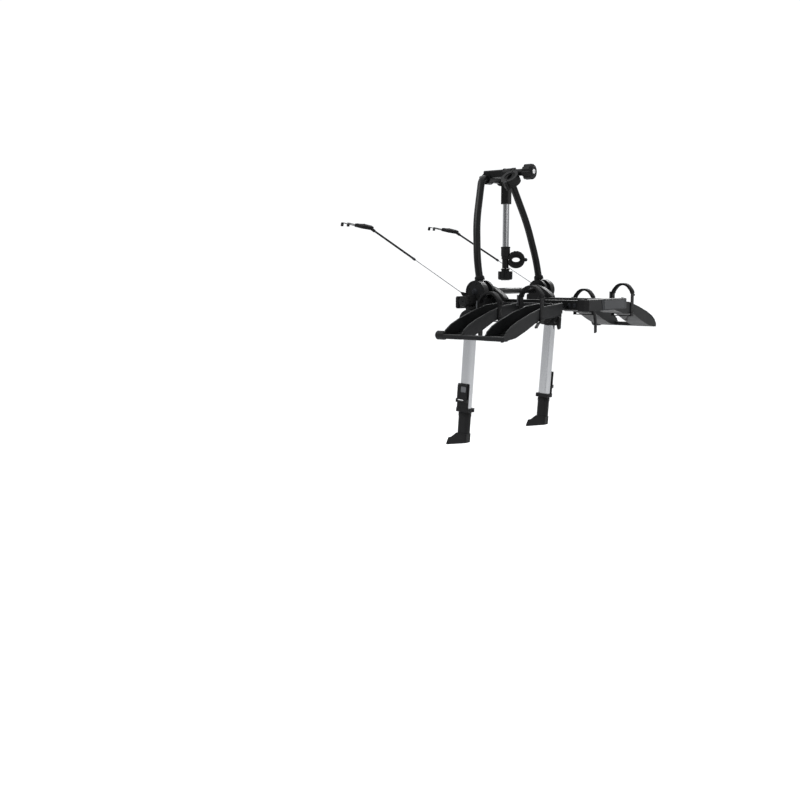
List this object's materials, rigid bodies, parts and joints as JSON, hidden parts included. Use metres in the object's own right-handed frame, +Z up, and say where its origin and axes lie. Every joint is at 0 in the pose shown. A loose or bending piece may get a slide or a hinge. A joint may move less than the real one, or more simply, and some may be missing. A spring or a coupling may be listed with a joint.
{
  "type": "folding vehicle cycle carrier",
  "caption": "Rear door carrier with a leaning arch, clamp arms, a folding platform with wheel trays, telescopic legs and hook cables that pull it against the door.",
  "frame": {"origin": "midway between the front faces of the two upper pads", "axes": "+X to the right seen from behind, +Y towards the door that carries it, +Z up"},
  "size_m": [1.154, 1.0438, 1.0581],
  "materials": {
    "steel_tube": "satin black powder coat",
    "steel_frame": "satin black powder coat",
    "hook_steel": "black coated steel plate",
    "steel_pin": "zinc plated",
    "wire": "stranded steel wire",
    "bare_tube": "satin anodised",
    "slider": "black anodised",
    "arm_casting": "black coated casting",
    "housing": "fine textured black moulding",
    "claw": "fine textured black moulding",
    "knob": "black moulding",
    "tray": "black moulding",
    "beam_cover": "dark grey moulding",
    "plate": "plain dark plate, bare",
    "leg_plastic": "black moulding",
    "strap": "flexible black ratchet strap",
    "buckle": "grey moulding",
    "sleeve": "black soft sleeve",
    "hook_cover": "black soft cover",
    "liner": "soft grip liner",
    "pad_rubber": "soft pad"
  },
  "bodies": {
    "hub": {"cross_axle": "steel_tube", "hub_housing_left": "housing", "hub_housing_right": "housing", "leg_pivot_pins": "steel_pin", "upper_pads": "pad_rubber", "cable_left": "wire", "cable_right": "wire", "cable_sleeve_left": "sleeve", "cable_sleeve_right": "sleeve", "hook_plate_left": "hook_steel", "hook_plate_right": "hook_steel", "hook_cover_left": "hook_cover", "hook_cover_right": "hook_cover"},
    "arch": {"arch_tube": "steel_tube", "arch_lugs": "steel_tube"},
    "short_arm": {"short_arm": "arm_casting"},
    "long_arm": {"long_arm_bracket": "arm_casting", "long_arm_tube": "bare_tube"},
    "platform": {"side_arm_left": "steel_frame", "side_arm_right": "steel_frame", "rear_beam": "beam_cover", "label_plate": "plate", "wing_hinge_rods": "steel_pin"},
    "short_claw": {"short_claw_body": "claw", "short_claw_pin": "steel_pin"},
    "short_jaw": {"short_claw_jaw": "claw", "short_claw_liner": "liner"},
    "short_knob": {"short_claw_knob": "knob"},
    "long_claw": {"long_claw_body": "claw", "long_claw_pin": "steel_pin"},
    "long_jaw": {"long_claw_jaw": "claw", "long_claw_liner": "liner"},
    "long_knob": {"long_claw_knob": "knob"},
    "tension_knob_left": {"tension_knob_left": "knob"},
    "wing_left": {"tray_wing_left": "tray", "front_wheel_strap_left": "strap", "rear_wheel_strap_left": "strap"},
    "front_buckle_left": {"front_buckle_lever_left": "buckle"},
    "rear_buckle_left": {"rear_buckle_lever_left": "buckle"},
    "leg_left": {"leg_head_left": "leg_plastic", "leg_tube_left": "bare_tube", "leg_collar_left": "leg_plastic"},
    "slider_left": {"leg_slider_left": "slider", "foot_left": "leg_plastic", "foot_pad_left": "pad_rubber"},
    "leg_lever_left": {"leg_lever_left": "leg_plastic"},
    "tension_knob_right": {"tension_knob_right": "knob"},
    "wing_right": {"tray_wing_right": "tray", "front_wheel_strap_right": "strap", "rear_wheel_strap_right": "strap"},
    "front_buckle_right": {"front_buckle_lever_right": "buckle"},
    "rear_buckle_right": {"rear_buckle_lever_right": "buckle"},
    "leg_right": {"leg_head_right": "leg_plastic", "leg_tube_right": "bare_tube", "leg_collar_right": "leg_plastic"},
    "slider_right": {"leg_slider_right": "slider", "foot_right": "leg_plastic", "foot_pad_right": "pad_rubber"},
    "leg_lever_right": {"leg_lever_right": "leg_plastic"}
  },
  "joints": [
    {"name": "arch_fold", "type": "hinge", "parent": "hub", "child": "arch", "pos_m": [0, -0.072, 0.04], "axis": [1, 0, 0], "range_deg": [0, 28]},
    {"name": "platform_fold", "type": "hinge", "parent": "hub", "child": "platform", "pos_m": [0, -0.072, 0.04], "axis": [-1, 0, 0], "range_deg": [0, 60]},
    {"name": "short_arm_swing", "type": "hinge", "parent": "arch", "child": "short_arm", "pos_m": [-0.0624, 0.00556, 0.47108], "axis": [1, 0, 0], "range_deg": [-80, 88]},
    {"name": "long_arm_swing", "type": "hinge", "parent": "arch", "child": "long_arm", "pos_m": [0.04368, 0.00556, 0.47108], "axis": [1, 0, 0], "range_deg": [-100, 0]},
    {"name": "short_claw_swivel", "type": "hinge", "parent": "short_arm", "child": "short_claw", "pos_m": [-0.0624, -0.12044, 0.48708], "axis": [0, -1, 0], "continuous": true},
    {"name": "short_jaw_open", "type": "hinge", "parent": "short_claw", "child": "short_jaw", "pos_m": [-0.12111, -0.12044, 0.43422], "axis": [0.6691, 0, -0.7431], "range_deg": [0, 25]},
    {"name": "short_knob_turn", "type": "hinge", "parent": "short_jaw", "child": "short_knob", "pos_m": [-0.0624, -0.12044, 0.48708], "axis": [0, -1, 0], "continuous": true},
    {"name": "long_claw_swivel", "type": "hinge", "parent": "long_arm", "child": "long_claw", "pos_m": [0.04368, -0.01044, 0.16108], "axis": [0, 0, -1], "continuous": true},
    {"name": "long_jaw_open", "type": "hinge", "parent": "long_claw", "child": "long_jaw", "pos_m": [0.0934, -0.07183, 0.16108], "axis": [-0.7771, -0.6293, 0], "range_deg": [0, 25]},
    {"name": "long_knob_turn", "type": "hinge", "parent": "long_jaw", "child": "long_knob", "pos_m": [0.04368, -0.01044, 0.16108], "axis": [0, 0, -1], "continuous": true},
    {"name": "tension_knob_turn_left", "type": "hinge", "parent": "hub", "child": "tension_knob_left", "pos_m": [-0.299, -0.062, 0.006], "axis": [1, 0, 0], "continuous": true},
    {"name": "wing_fold_left", "type": "hinge", "parent": "platform", "child": "wing_left", "pos_m": [-0.19, -0.2885, -0.014], "axis": [0, -1, 0], "range_deg": [-95, 0]},
    {"name": "front_buckle_lift_left", "type": "hinge", "parent": "wing_left", "child": "front_buckle_left", "pos_m": [-0.345, -0.1514, -0.025], "axis": [-1, 0, 0], "range_deg": [0, 60]},
    {"name": "rear_buckle_lift_left", "type": "hinge", "parent": "wing_left", "child": "rear_buckle_left", "pos_m": [-0.345, -0.3244, -0.001], "axis": [-1, 0, 0], "range_deg": [0, 60]},
    {"name": "leg_fold_left", "type": "hinge", "parent": "hub", "child": "leg_left", "pos_m": [-0.286, -0.078, -0.066], "axis": [1, 0, 0], "range_deg": [-75, 8]},
    {"name": "leg_slide_left", "type": "slide", "parent": "leg_left", "child": "slider_left", "axis": [0, 0.0715, -0.9974], "range_m": [0, 0.11]},
    {"name": "leg_lever_lift_left", "type": "hinge", "parent": "leg_left", "child": "leg_lever_left", "pos_m": [-0.3121, -0.05648, -0.36623], "axis": [0, -0.9974, -0.0715], "range_deg": [0, 110]},
    {"name": "tension_knob_turn_right", "type": "hinge", "parent": "hub", "child": "tension_knob_right", "pos_m": [0.299, -0.062, 0.006], "axis": [1, 0, 0], "continuous": true},
    {"name": "wing_fold_right", "type": "hinge", "parent": "platform", "child": "wing_right", "pos_m": [0.19, -0.2885, -0.014], "axis": [0, 1, 0], "range_deg": [-95, 0]},
    {"name": "front_buckle_lift_right", "type": "hinge", "parent": "wing_right", "child": "front_buckle_right", "pos_m": [0.345, -0.1514, -0.025], "axis": [-1, 0, 0], "range_deg": [0, 60]},
    {"name": "rear_buckle_lift_right", "type": "hinge", "parent": "wing_right", "child": "rear_buckle_right", "pos_m": [0.345, -0.3244, -0.001], "axis": [-1, 0, 0], "range_deg": [0, 60]},
    {"name": "leg_fold_right", "type": "hinge", "parent": "hub", "child": "leg_right", "pos_m": [0.286, -0.078, -0.066], "axis": [1, 0, 0], "range_deg": [-75, 8]},
    {"name": "leg_slide_right", "type": "slide", "parent": "leg_right", "child": "slider_right", "axis": [0, 0.0715, -0.9974], "range_m": [0, 0.11]},
    {"name": "leg_lever_lift_right", "type": "hinge", "parent": "leg_right", "child": "leg_lever_right", "pos_m": [0.3121, -0.05648, -0.36623], "axis": [0, 0.9974, 0.0715], "range_deg": [0, 110]}
  ]
}
